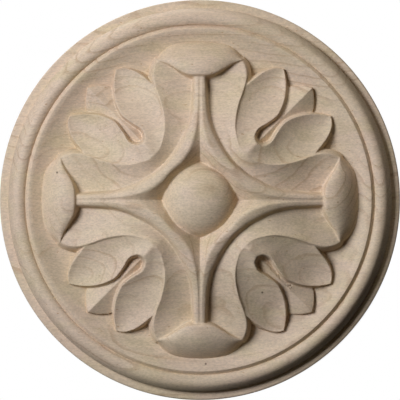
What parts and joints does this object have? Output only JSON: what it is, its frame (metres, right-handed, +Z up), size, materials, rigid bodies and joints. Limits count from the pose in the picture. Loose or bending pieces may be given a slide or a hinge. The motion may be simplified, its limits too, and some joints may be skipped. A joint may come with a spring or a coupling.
{
  "type": "carved wooden rosette",
  "caption": "Round carved maple rosette with moulded rim, four-petal flower in relief and centre boss, flat back for gluing on.",
  "frame": {"origin": "centre of the flat back", "axes": "-Y out of the carved front, +Y out of the back, +Z up"},
  "size_m": [0.1334, 0.0222, 0.1334],
  "materials": {
    "maple": "bare sanded maple"
  },
  "bodies": {
    "root": {"rosette": "maple"}
  },
  "joints": []
}
